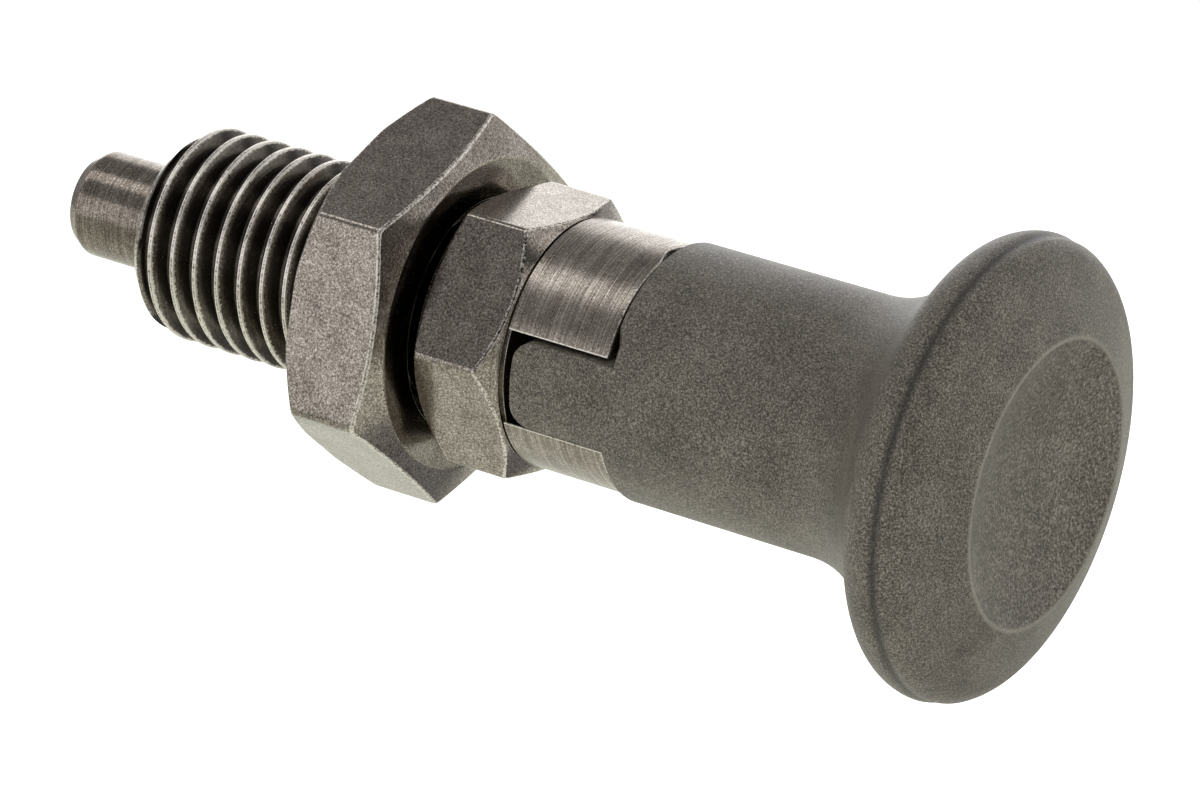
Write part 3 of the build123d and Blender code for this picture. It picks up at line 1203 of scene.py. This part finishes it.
@dataclass
class CoilSpring:
    """Compression spring with closed and ground ends, hidden in the body's bore.

    Attributes:
        front, rear: the x of its two ground ends at rest.
        coil_radius: from the axis to the middle of the wire.
        active_coils, closed_coils: turns that give way, and turns at each end.
        closed_pitch: rise of an end coil in one turn.
        pressed_share: share of its length that is left at full pull; not used.
        steps, wire_steps: points along the wire and round it.
        weld: distance within which vertices are one.
    """

    finish: DrawnSpringWire
    front: float = -10.5
    rear: float = 3.0
    wire_radius: float = 0.3
    coil_radius: float = 2.45
    active_coils: float = 7.0
    closed_coils: float = 1.1
    closed_pitch: float = 0.63
    pressed_share: float = 0.54
    steps: int = 460
    wire_steps: int = 14
    weld: float = 1e-5

    def build(self) -> bpy.types.Object:
        """Makes the spring, dresses it, ties it to the body and gives it a mesh of its own.

        A circle of the wire's radius is carried along a helix, whose rise per turn is
        small in the end coils. Whatever stands past an end is ground flat, so its x
        is held at that end.

        Returns:
            The object.
        """
        turns = np.linspace(0, self.active_coils + 2 * self.closed_coils, self.steps)
        ground = self.wire_radius / 2
        closed_rise = self.closed_coils * self.closed_pitch
        active_rise = self.rear - self.front - 2 * ground - 2 * closed_rise
        x = self.front + ground + np.interp(
            turns,
            [0, self.closed_coils, self.closed_coils + self.active_coils, turns[-1]],
            [0, closed_rise, closed_rise + active_rise, 2 * closed_rise + active_rise],
        )
        centre = on_axis(x, np.full_like(x, self.coil_radius), 2 * np.pi * turns)
        ahead = np.gradient(centre, axis=0)
        ahead /= np.linalg.norm(ahead, axis=-1, keepdims=True)
        out = on_axis(np.zeros_like(x), np.ones_like(x), 2 * np.pi * turns)
        aside = np.cross(ahead, out)
        turn = np.linspace(0, 2 * np.pi, self.wire_steps, endpoint=False)[None, :, None]
        circle = np.cos(turn) * out[:, None] + np.sin(turn) * aside[:, None]
        tube = centre[:, None] + self.wire_radius * circle
        first, last = (np.repeat(centre[k][None, None], self.wire_steps, axis=1) for k in (0, -1))
        tube = np.concatenate([first, tube, last])
        tube[..., 0] = np.clip(tube[..., 0], self.front, self.rear)
        surface = grid_surface(tube, wrap_columns=True)
        made = dressed("pressure_spring", surface, self.finish, weld=self.weld)
        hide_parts("spring")
        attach(made, "body")
        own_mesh(made)
        return made


@dataclass
class MushroomGrip:
    """Moulded grip: tongue, sleeve, neck, full-round rim, sloping face and dish.

    Attributes:
        notch_depth, notch_width, notch_fade, notch_blend: the notch in the sleeve's
            front edge: its depth, its angle and its fade round the sleeve, and how
            far along the sleeve it makes itself felt.
        root_slack: rounding error of an angle at the tongue's root, in degrees.
        flank_angle: slope of the flank between neck and rim, from the sleeve.
        rim_centre: x of the middle of the rim's round.
        knob_radius: the grip's greatest radius.
        face_angle: slope of the face between rim and dish.
        dish_edge: how far from the dish's edge its rounding begins.
        groove_at, groove_half_width, groove_depth: the groove round the rim: its
            angle on the rim's round, its half width there and its depth.
        groove_shade: how dark the painted shade in it is.
        lip_wear_and_highlight: wear on the dish's edge, partly a painted highlight.
        edge_round, edge_segments, edge_angle: rounding of the moulded edges, and the
            bend from which an edge is rounded.
    """

    finish: MouldedNylon
    sleeve_start: float = 11.85
    sleeve_radius: float = 7.1
    notch_depth: float = 0.38
    notch_width: float = 13.0
    notch_fade: float = 5.0
    notch_blend: float = 1.5
    root_slack: float = 1e-6
    neck_start: float = 22.9
    neck_radius: float = 6.5
    flank_angle: float = 55.0
    rim_centre: float = 31.2
    rim_radius: float = 2.15
    knob_radius: float = 12.49
    face_angle: float = 22.0
    dish_radius: float = 7.75
    dish_depth: float = 1.8
    dish_edge: float = 0.24
    groove_at: float = 78.0
    groove_half_width: float = 15.0
    groove_depth: float = 0.1
    groove_shade: float = 0.8
    lip_wear_and_highlight: float = 0.7
    tongue_start: float = 6.15
    tongue_half_width: float = 2.4
    tongue_corner: float = 1.1
    edge_round: float = 0.14
    edge_segments: int = 3
    edge_angle: float = 40.0
    crease: float = 35.0
    sleeve_steps: int = 12
    neck_steps: int = 22
    rim_steps: int = 84
    face_steps: int = 12
    lip_steps: int = 8
    dish_steps: int = 26
    wall_steps: int = 12
    corner_steps: int = 7
    front_steps: int = 7
    free_steps: int = 57
    step_face_steps: int = 6

    def rim(self) -> tuple[Array, Array]:
        """The full-round rim from flank to face, with the groove pressed into it.

        The groove's depth is 3t^2 - 2t^3, with t falling from 1 at its middle to 0
        at its half width.

        Returns:
            The (x, r) points and how far each lies in the groove, from 0 to 1.
        """
        centre = np.array([self.rim_centre, self.knob_radius - self.rim_radius])
        ends = 90 + self.flank_angle, self.face_angle
        plain = arc(tuple(centre), self.rim_radius, *ends, self.rim_steps)
        turn = np.linspace(*ends, self.rim_steps)
        t = np.clip(1 - np.abs(turn - self.groove_at) / self.groove_half_width, 0, 1)
        in_groove = smooth_step(t)
        inward = (centre - plain) / self.rim_radius
        return plain + inward * (self.groove_depth * in_groove)[:, None], in_groove

    def profile(self) -> tuple[Array, dict[str, Array]]:
        """The outer profile from the sleeve's front to the middle of the dish.

        It is a row of circle arcs and straight lines that meet without a corner. The
        dish is part of a sphere of radius (a^2 + d^2) / 2d, for a dish of radius a
        and depth d, and its edge is a quadratic curve.

        Returns:
            The (x, r) points, and the marks of the dish, the painted shade in the groove
            and the edges.
        """
        start = np.array([self.sleeve_start, self.sleeve_radius])
        end = np.array([self.neck_start, self.sleeve_radius])
        sleeve = line(start, end, np.linspace(0, 1, self.sleeve_steps)[:-1])
        neck_centre = (self.neck_start, self.sleeve_radius + self.neck_radius)
        neck = arc(neck_centre, self.neck_radius, -90, self.flank_angle - 90, self.neck_steps)
        rim, in_groove = self.rim()

        fall = (rim[-1, 1] - self.dish_radius) * np.tan(np.radians(self.face_angle))
        edge = np.array([rim[-1, 0] + fall, self.dish_radius])
        slope = (edge - rim[-1]) / np.linalg.norm(edge - rim[-1])
        face_end = edge - slope * self.dish_edge
        face = line(rim[-1], face_end, np.linspace(0, 1, self.face_steps)[1:-1])

        sphere = (self.dish_radius**2 + self.dish_depth**2) / (2 * self.dish_depth)
        centre = np.array([edge[0] - self.dish_depth + sphere, 0.0])
        lean = np.arcsin(self.dish_radius / sphere) - self.dish_edge / sphere
        bowl = np.linspace(lean, 0, self.dish_steps)
        dish = centre + sphere * np.stack([-np.cos(bowl), np.sin(bowl)], axis=-1)
        t = np.linspace(0, 1, self.lip_steps)
        bend = np.stack([(1 - t) ** 2, 2 * t * (1 - t), t**2], axis=-1)
        lip = bend @ np.stack([face_end, edge, dish[0]])

        stretches = (sleeve, neck, rim, face, lip, dish[1:])
        values = {
            DISH_FLOOR: (0, 0, 0, 0, t, 1),
            # Painted shade in the rim's groove.
            PAINTED_SHADE: (0, 0, self.groove_shade * in_groove**2, 0, 0, 0),
            # The dish's edge: wear, partly a painted highlight.
            WORN_EDGE: (0, 0, 0, 0, self.lip_wear_and_highlight * (4 * t * (1 - t)) ** 2, 0),
        }
        marks = {
            name: np.concatenate(
                [np.broadcast_to(v, len(points)) for v, points in zip(value, stretches)]
            )
            for name, value in values.items()
        }
        return np.concatenate(stretches), marks

    def tongue_outline(self) -> tuple[Array, Array]:
        """The tongue seen along Y: the z of its front and the x of its front edge.

        Returns:
            The z values from one side to the other, and x at each of them.
        """
        turn = np.linspace(0, np.pi / 2, self.corner_steps)
        flat = self.tongue_half_width - self.tongue_corner
        corner_z = flat + self.tongue_corner * np.cos(turn)
        corner_x = self.tongue_start + self.tongue_corner * (1 - np.sin(turn))
        front_z = np.linspace(flat, -flat, self.front_steps)[1:-1]
        front_x = np.full_like(front_z, self.tongue_start)
        z = np.concatenate([corner_z, front_z, -corner_z[::-1]])
        x = np.concatenate([corner_x, front_x, corner_x[::-1]])
        return z[::-1], x[::-1]

    def front_step(self, angles: Array, half: float) -> Array:
        """How far the sleeve's front edge stands back where it is notched.

        The notch lies at one root of each tongue. It is as deep as given over its
        width and then comes forward as half a cosine wave over its fade.

        Args:
            angles: angles of the columns.
            half: half of the angle that a tab takes up.

        Returns:
            One distance along X for each angle.
        """
        from_root = np.degrees(np.pi - half - angles % np.pi)
        near = np.clip(1 - (from_root - self.notch_width) / self.notch_fade, 0, 1)
        past_root = from_root > -self.root_slack
        return self.notch_depth * past_root * (1 - np.cos(np.pi * near)) / 2

    def tongue(self, z: Array, front: Array, free: Array, rear: Array) -> list[Surface]:
        """The tongue's walls and the outer faces of its two tabs.

        The walls are carried along the tongue's outline, and across it from one tab
        to the other at y = R cos a / cos a0, with R cos a0 the tab's own place. A
        tab's face lies on the sleeve's cylinder.

        Args:
            z: the z of the tongue's front.
            front: x at each of them.
            free: angles of the sleeve's columns between the tabs.
            rear: x of the sleeve's front edge at those angles.

        Returns:
            The surfaces.
        """
        rows = np.linspace(0, 1, self.wall_steps)[:, None]
        side_x = rear[None, :] + (front[0] - rear[None, :]) * rows[:-1]
        front_x = np.broadcast_to(front[:, None], (len(front), len(free)))
        wall_x = np.concatenate([side_x, front_x, side_x[::-1]])
        wall_z = np.concatenate(
            [np.full(len(side_x), z[0]), z, np.full(len(side_x), z[-1])]
        )[:, None]
        spread = np.cos(free) / np.cos(free[0])
        wall_y = spread * np.sqrt(self.sleeve_radius**2 - wall_z**2)
        walls = np.stack(np.broadcast_arrays(wall_x, wall_y, wall_z), axis=-1)
        tab_x = rear[0] + (front - rear[0]) * rows
        tab_y = self.sleeve_radius * np.cos(np.arcsin(z / self.sleeve_radius))
        tabs = [np.stack(np.broadcast_arrays(tab_x, side * tab_y, z), axis=-1) for side in (1, -1)]
        return [grid_surface(patch) for patch in (walls, *tabs)]

    def build(self) -> bpy.types.Object:
        """Makes the grip, dresses it and ties it to its solid.

        The sleeve's surface, its front face beside the tongue, the tongue's walls
        and the tabs' outer faces are patches whose edges share their points, so that
        they weld into one closed skin.

        Returns:
            The object.
        """
        z, front = self.tongue_outline()
        on_tab = np.arcsin(z / self.sleeve_radius)
        half = on_tab[-1]
        free = np.linspace(half, np.pi - half, self.free_steps)
        angles = np.concatenate([on_tab[:-1], free[:-1], np.pi + on_tab[:-1], np.pi + free[:-1]])
        profile, marks = self.profile()
        near_front = np.clip(1 - (profile[:, 0] - self.sleeve_start) / self.notch_blend, 0, 1)
        skin_x = profile[:, :1] + near_front[:, None] * self.front_step(angles, half)
        skin = on_axis(skin_x, profile[:, 1:], angles)
        skin_marks = {name: values[:, None] for name, values in marks.items()}
        patches = [grid_surface(skin, skin_marks, wrap_columns=True)]

        rear = self.sleeve_start + self.front_step(free, half)
        face_y, top = self.sleeve_radius * np.cos(free), self.sleeve_radius * np.sin(free)
        share = np.linspace(0, 1, self.step_face_steps)[:, None]
        height = top + (self.tongue_half_width - top) * share
        for side in (1, -1):
            face = np.stack(np.broadcast_arrays(rear, face_y, side * height), axis=-1)
            patches.append(grid_surface(face))
        patches += self.tongue(z, front, free, rear)

        made = dressed("moulded_grip", joined(patches), self.finish, crease=self.crease)
        soften = made.modifiers.new("edge_rounds", "BEVEL")
        soften.limit_method = "ANGLE"
        soften.angle_limit = np.radians(self.edge_angle)
        soften.width = self.edge_round * MM
        soften.segments = self.edge_segments
        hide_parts("mushroom_grip")
        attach(made, "plunger")
        return made


# ------------------------------------------------------------------------ stage
@dataclass(frozen=True)
class Lamp:
    """A soft lamp: its place and size in millimetres, and its power in watts."""

    name: str
    place: tuple[float, float, float]
    size: tuple[float, float]
    watts: float


@dataclass(frozen=True)
class Strip:
    """A bright strip of the tent, in degrees round the X axis from +Y towards +Z."""

    middle: float
    half_width: float
    fade: float
    level: float


@dataclass(frozen=True)
class Card:
    """A square glowing card across the X axis, in front of the pin.

    Attributes:
        name: its name.
        glow: its glow, where 1 is white.
        distance: how far towards -X it stands.
        half_width: half of its side.
        mirrored: whether the steel mirrors it, or it only lights the matt surfaces.
    """

    name: str
    glow: float
    distance: float
    half_width: float
    mirrored: bool


@dataclass
class Studio:
    """White room, soft lamps and the camera.

    Attributes:
        eye: the camera's place in millimetres.
        forward: the way it looks.
        up: its upward side.
        lens, film: its focal length and the width of its film.
        clip: nearest and farthest distance that is seen, in metres.
        lamps: the soft lamps.
        ambient: the room's level as light, where its level as a background is 1.
        paper: colour of the floor.
        floor_drop: depth of the floor below the object's axis.
        floor_glow: level of the floor for the camera.
        floor_fill: its level as light.
        bounce: colour of what the floor throws back.
        front_glow, rear_glow: its levels in mirrors, near the camera and far from it.
        glow_depths: the y at which they are reached.
        shadow_card_x, shadow_card_y, shadow_card_glow, shadow_card_lift: a grey card on
        the floor, a painted shadow of the object that only the steel mirrors: its
        x and y ranges, its glow and its height over the floor.
        tent_radius, tent_half_length, tent_span: size of the tent round the axis.
        tent_steps: number of columns of its cloth.
        tent_shade: its glow between the strips.
        strips: its bright strips.
        rear_start: how far behind the origin its dark end begins.
        rear_share: share of the glow that is left there.
        rear_rise, rear_fade: angle of the dark end's lower hem, and how soft it is.
        cards: the cards at the tent's far end.
    """

    eye: tuple[float, float, float] = (177.828, -271.206, 126.528)
    forward: tuple[float, float, float] = (-0.49376, 0.78531, -0.37349)
    up: tuple[float, float, float] = (-0.25278, 0.28133, 0.92572)
    lens: float = 195.0
    film: float = 36.0
    clip: tuple[float, float] = (0.01, 20.0)
    lamps: tuple[Lamp, ...] = (
        Lamp("front_softbox", (-150.0, -390.0, 50.0), (900.0, 260.0), 0.52),
        Lamp("overhead_softbox", (-150.0, -105.0, 420.0), (900.0, 150.0), 0.53),
        Lamp("side_softbox", (220.0, 250.0, 260.0), (400.0, 400.0), 0.48),
        Lamp("rear_softbox", (-220.0, 390.0, 80.0), (400.0, 400.0), 0.6),
    )
    ambient: float = 0.55
    paper: str = "#f2f1ee"
    floor_drop: float = 140.0
    floor_half_width: float = 1500.0
    floor_glow: float = 0.6
    floor_fill: float = 0.5
    bounce: str = "#fcfff2"
    front_glow: float = 0.62
    rear_glow: float = 0.95
    glow_depths: tuple[float, float] = (-240.0, -10.0)
    # A painted shadow: a grey card on the floor where the object's own shadow would lie, seen only
    # in the steel.
    shadow_card_x: tuple[float, float] = (30.0, 180.0)
    shadow_card_y: tuple[float, float] = (30.0, 210.0)
    shadow_card_glow: float = 0.3
    shadow_card_lift: float = 1.0
    tent_radius: float = 600.0
    tent_half_length: float = 1200.0
    tent_span: tuple[float, float] = (0.0, 214.0)
    tent_steps: int = 191
    tent_shade: float = 0.34
    strips: tuple[Strip, ...] = (
        Strip(middle=0.0, half_width=4.0, fade=36.0, level=0.4),
        Strip(middle=220.0, half_width=5.0, fade=30.0, level=0.35),
    )
    rear_start: float = 120.0
    rear_share: float = 0.05
    rear_rise: float = 11.0
    rear_fade: float = 6.0
    cards: tuple[Card, ...] = (
        Card("end_card", glow=0.5, distance=600.0, half_width=510.0, mirrored=True),
        Card("end_flag", glow=0.06, distance=360.0, half_width=450.0, mirrored=False),
    )

    def camera(self) -> None:
        """Adds the camera and makes it the scene's own."""
        data = bpy.data.cameras.new("camera")
        data.lens = self.lens
        data.sensor_width = self.film
        data.clip_start, data.clip_end = self.clip
        back = -Vector(self.forward).normalized()
        right = Vector(self.up).normalized().cross(back).normalized()
        turn = Matrix((right, back.cross(right), back)).transposed().to_4x4()
        made = bpy.data.objects.new("camera", data)
        made.matrix_world = Matrix.Translation(Vector(self.eye) * MM) @ turn
        bpy.context.scene.collection.objects.link(made)
        bpy.context.scene.camera = made

    def lights(self) -> None:
        """Adds the soft lamps, each facing the object with its long side along X."""
        for lamp in self.lamps:
            data = bpy.data.lights.new(lamp.name, "AREA")
            data.shape = "RECTANGLE"
            data.size, data.size_y = (side * MM for side in lamp.size)
            data.energy = lamp.watts
            back = Vector(lamp.place).normalized()
            along = (Vector((1.0, 0.0, 0.0)) - back * back.x).normalized()
            turn = Matrix((along, back.cross(along), back)).transposed().to_4x4()
            made = bpy.data.objects.new(lamp.name, data)
            made.matrix_world = Matrix.Translation(Vector(lamp.place) * MM) @ turn
            bpy.context.scene.collection.objects.link(made)

    def sheet(
        self, name: str, surface: Surface, level: float | None = None
    ) -> bpy.types.Object:
        """Adds a glowing sheet that the camera doesn't see and that casts no shadow.

        Args:
            name: name of the object and its material.
            surface: the sheet in millimetres.
            level: the glow, where 1 is white; none takes the glow attribute.

        Returns:
            The object.
        """
        material = bpy.data.materials.new(name)
        tree = emptied(material)
        strength = level
        if level is None:
            strength = add_node(
                tree, "ShaderNodeAttribute", {"attribute_name": GLOW}
            ).outputs["Fac"]
        glow = add_node(
            tree, "ShaderNodeEmission", inputs={"Color": WHITE, "Strength": strength}
        ).outputs["Emission"]
        add_node(tree, "ShaderNodeOutputMaterial", inputs={"Surface": glow})
        made = make_object(name, surface)
        made.data.materials.append(material)
        made.visible_camera = False
        made.visible_shadow = False
        return made

    def tent(self) -> None:
        """Adds the tent that the steel mirrors.

        The tent is part of a cylinder round the object's axis, (x, R cos a, R sin a).
        Its glow is the shade between the strips plus, for each strip, its level times
        3t^2 - 2t^3, where t falls from 1 to 0 over the strip's fade. Above its
        lower hem the end behind the grip keeps only a share of that.
        """
        angles = np.linspace(*self.tent_span, self.tent_steps)
        glow = np.full_like(angles, self.tent_shade)
        for strip in self.strips:
            past = np.abs(angles - strip.middle) - strip.half_width
            glow += strip.level * smooth_step(np.clip(1 - past / strip.fade, 0, 1))
        below_hem = smooth_step(np.clip((self.rear_rise - angles) / self.rear_fade + 0.5, 0, 1))
        behind = self.rear_share + (1 - self.rear_share) * below_hem
        whole = np.ones_like(angles)
        x = np.array([-self.tent_half_length, 0.0, self.rear_start, self.tent_half_length])
        share = np.stack([whole, whole, behind, behind])
        places = on_axis(x[:, None], self.tent_radius, np.radians(angles))
        made = self.sheet("tent", grid_surface(places, {GLOW: share * glow}))
        made.visible_diffuse = False

    def end_cards(self) -> None:
        """Adds the cards across the tent's far end."""
        for card in self.cards:
            ends = [-card.half_width, card.half_width]
            y, z = np.meshgrid(ends, ends)
            places = np.stack([np.full_like(y, -card.distance), y, z], axis=-1)
            made = self.sheet(card.name, grid_surface(places), card.glow)
            made.visible_diffuse = not card.mirrored
            made.visible_glossy = card.mirrored

    def painted_floor_shadow(self) -> None:
        """Adds the grey card on the floor, a painted shadow that the steel's lower faces mirror.
        """
        x, y = np.meshgrid(self.shadow_card_x, self.shadow_card_y, indexing="ij")
        places = np.stack([x, y, np.full_like(x, self.shadow_card_lift - self.floor_drop)], axis=-1)
        made = self.sheet("painted_floor_shadow", grid_surface(places), self.shadow_card_glow)
        made.visible_diffuse = False

    def shown(self, tree: bpy.types.NodeTree) -> tuple[bpy.types.NodeSocket, ...]:
        """Tells what is seen apart from what only lights.

        Args:
            tree: the node tree of the room or the floor.

        Returns:
            Three outputs: 1 for the camera, for a mirroring ray, and for the camera,
            a mirroring ray or one through glass.
        """
        rays = add_node(tree, "ShaderNodeLightPath").outputs
        camera, mirror = rays["Is Camera Ray"], rays["Is Glossy Ray"]
        seen = camera
        for ray in (mirror, rays["Is Transmission Ray"]):
            seen = add_node(
                tree, "ShaderNodeMath", {"operation": "MAXIMUM"}, {0: seen, 1: ray}
            ).outputs[0]
        return camera, mirror, seen

    def room(self) -> None:
        """Sets the world: white where it is seen or mirrored, softer as light."""
        world = bpy.data.worlds.new("white_room")
        tree = emptied(world)
        bpy.context.scene.world = world
        _, _, seen = self.shown(tree)
        strength = add_node(
            tree, "ShaderNodeMapRange",
            inputs={"Value": seen, "To Min": self.ambient, "To Max": 1.0},
        ).outputs["Result"]
        light = add_node(
            tree, "ShaderNodeBackground", inputs={"Color": WHITE, "Strength": strength}
        ).outputs["Background"]
        add_node(tree, "ShaderNodeOutputWorld", inputs={"Surface": light})

    def floor_paper(self) -> bpy.types.Material:
        """Plain pale paper that takes the object's shadow and glows a little.

        The glow is white and at one level for the camera. In mirrors it rises from
        the front level to the rear one, and as light it has a level of its own.

        Returns:
            The material.
        """
        material = bpy.data.materials.new("pale_paper")
        tree = emptied(material)
        camera, mirror, seen = self.shown(tree)
        place = add_node(tree, "ShaderNodeTexCoord").outputs["Object"]
        depth = add_node(tree, "ShaderNodeSeparateXYZ", inputs={"Vector": place}).outputs["Y"]
        near, far = self.glow_depths
        mirrored = add_node(
            tree, "ShaderNodeMapRange",
            inputs={"Value": depth, "From Min": near * MM, "From Max": far * MM,
                    "To Min": self.front_glow, "To Max": self.rear_glow},
        ).outputs["Result"]
        level = add_node(
            tree, "ShaderNodeMix", {"data_type": "FLOAT"},
            {"Factor": camera, "A": mirrored, "B": self.floor_glow},
        ).outputs["Result"]
        level = add_node(
            tree, "ShaderNodeMix", {"data_type": "FLOAT"},
            {"Factor": seen, "A": self.floor_fill, "B": level},
        ).outputs["Result"]
        tint = add_node(
            tree, "ShaderNodeMix", {"data_type": "RGBA"},
            {"Factor": camera, "A": linear(self.bounce), "B": WHITE},
        ).outputs["Result"]
        glow = add_node(
            tree, "ShaderNodeEmission", inputs={"Color": tint, "Strength": level}
        ).outputs["Emission"]
        paper = add_node(
            tree, "ShaderNodeBsdfDiffuse", inputs={"Color": linear(self.paper)}
        ).outputs["BSDF"]
        lit = add_node(tree, "ShaderNodeAddShader", inputs={0: paper, 1: glow}).outputs["Shader"]
        surface = add_node(
            tree, "ShaderNodeMixShader", inputs={0: mirror, 1: lit, 2: glow}
        ).outputs["Shader"]
        add_node(tree, "ShaderNodeOutputMaterial", inputs={"Surface": surface})
        return material

    def floor(self) -> None:
        """Adds the floor, one square of paper."""
        half = self.floor_half_width
        corners = np.array([[-half, -half], [half, -half], [half, half], [-half, half]])
        places = np.column_stack([corners, np.full(4, -self.floor_drop)]) * MM
        mesh = bpy.data.meshes.new("floor")
        mesh.from_pydata(places.tolist(), [], [(0, 1, 2, 3)])
        mesh.materials.append(self.floor_paper())
        made = bpy.data.objects.new("floor", mesh)
        bpy.context.scene.collection.objects.link(made)

    def build(self) -> None:
        """Sets up the stage: colour handling, room, floor, tent, lamps and camera."""
        bpy.context.scene.view_settings.view_transform = "Standard"
        self.room()
        self.floor()
        self.tent()
        self.end_cards()
        self.painted_floor_shadow()
        self.lights()
        self.camera()


def main() -> None:
    """Builds the studio and every part, and logs the number of faces of each."""
    logging.basicConfig(level=logging.INFO, format="%(name)s: %(message)s")
    Studio().build()
    body_steel = BlackOxideSteel("black_oxide_steel_turned", Cut.TURNED, roughness=0.09)
    nut_steel = BlackOxideSteel("black_oxide_steel_pressed", Cut.PRESSED, middle="#938a81")
    pin_steel = BlackOxideSteel(
        "black_oxide_steel_ground", Cut.GROUND, middle="#80776e", pale="#cbc2b8",
        line_share=0.3, line_relief_mm=0.008, line_scatter=0.0,
    )
    parts = (
        ThreadedBody(body_steel),
        Locknut(nut_steel),
        LockingPin(pin_steel),
        CoilSpring(DrawnSpringWire("drawn_spring_wire")),
        MushroomGrip(MouldedNylon("moulded_glass_filled_nylon")),
    )
    for part in parts:
        made = part.build()
        log.info("%s: %d faces", made.name, len(made.data.polygons))


if __name__ == "__main__":
    main()
